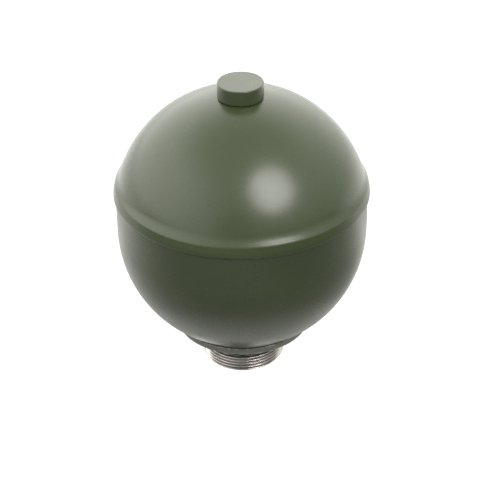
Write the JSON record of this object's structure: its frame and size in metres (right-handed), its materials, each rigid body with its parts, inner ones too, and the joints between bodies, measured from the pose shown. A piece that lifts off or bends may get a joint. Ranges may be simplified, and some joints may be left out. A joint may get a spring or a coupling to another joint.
{
  "type": "pressure accumulator",
  "caption": "Sphere-type pressure accumulator: screwed steel half shells round a gas and oil diaphragm, with a damper valve in the threaded neck and a flat round filler plug.",
  "frame": {"origin": "on the axis, in the flat end face of the threaded neck", "axes": "+Z along the axis from the neck to the filler plug; the object is a body of revolution apart from the damper valve's passages and nut"},
  "size_m": [0.1066, 0.1066, 0.1315],
  "materials": {
    "shell_paint": "satin olive grey-green stoving paint",
    "plug_paint": "the same satin paint, thin on the flat top",
    "neck_steel": "bare turned steel",
    "turned_steel": "bare turned steel, oiled",
    "spring_steel": "bright rolled spring steel",
    "sintered_steel": "fine matt sintered steel",
    "pressed_steel": "pressed sheet steel",
    "seal_rubber": "matt black rubber",
    "diaphragm_rubber": "matt moulded rubber"
  },
  "bodies": {
    "sphere": {"upper_shell": "shell_paint", "lower_shell": "shell_paint", "filler_plug": "plug_paint", "port_seal_ring": "seal_rubber", "diaphragm": "diaphragm_rubber", "diaphragm_slip_ring": "pressed_steel", "damper_body": "sintered_steel", "damper_stem": "turned_steel", "damper_nut": "turned_steel", "damper_retaining_ring": "turned_steel", "compression_disc_large": "spring_steel", "compression_disc_medium": "spring_steel", "compression_disc_small": "spring_steel", "compression_spacer": "turned_steel", "compression_backing_washer": "turned_steel", "rebound_disc_large": "spring_steel", "rebound_disc_medium": "spring_steel", "rebound_disc_small": "spring_steel", "rebound_spacer": "turned_steel", "rebound_backing_washer": "turned_steel"},
    "diaphragm_centre": {"diaphragm_cup": "pressed_steel"}
  },
  "joints": [
    {"name": "diaphragm_travel", "type": "slide", "parent": "sphere", "child": "diaphragm_centre", "axis": [0, 0, 1], "range_m": [0, 0.065], "deforming": ["diaphragm"]}
  ]
}
